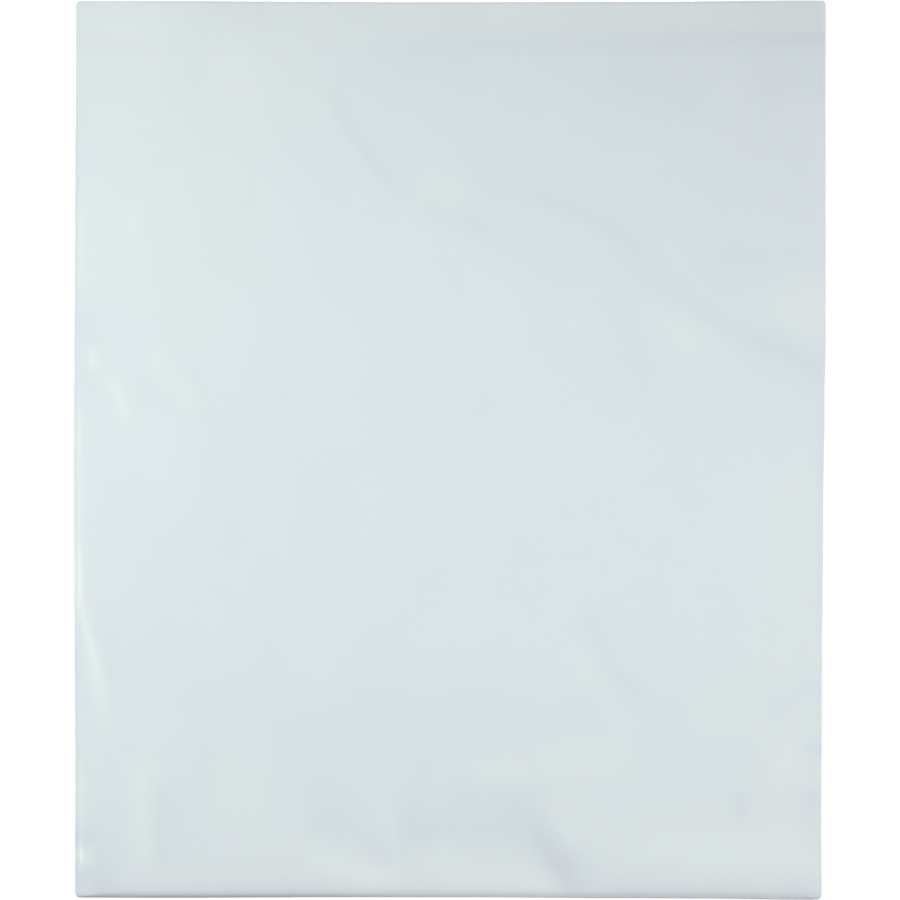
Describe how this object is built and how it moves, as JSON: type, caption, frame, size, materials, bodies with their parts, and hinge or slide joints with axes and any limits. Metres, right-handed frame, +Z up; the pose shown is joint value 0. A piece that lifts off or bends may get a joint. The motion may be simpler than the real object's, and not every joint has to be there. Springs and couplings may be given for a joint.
{
  "type": "poly mailer bag",
  "caption": "Flat film mailing bag: one folded web welded along both sides, with its flap folded behind over a lined adhesive strip.",
  "frame": {"origin": "middle of the bag's outline, on the surface it lies on", "axes": "+X across the bag's width, +Y from the bottom fold to the flap fold, +Z up out of the plain face"},
  "size_m": [0.508, 0.61, 0.0063],
  "materials": {
    "film": "satin white film",
    "adhesive": "clear hot melt",
    "liner": "smooth release coating"
  },
  "bodies": {
    "root": {"film_bag": "film", "adhesive_strip": "adhesive", "release_liner": "liner"}
  },
  "joints": []
}
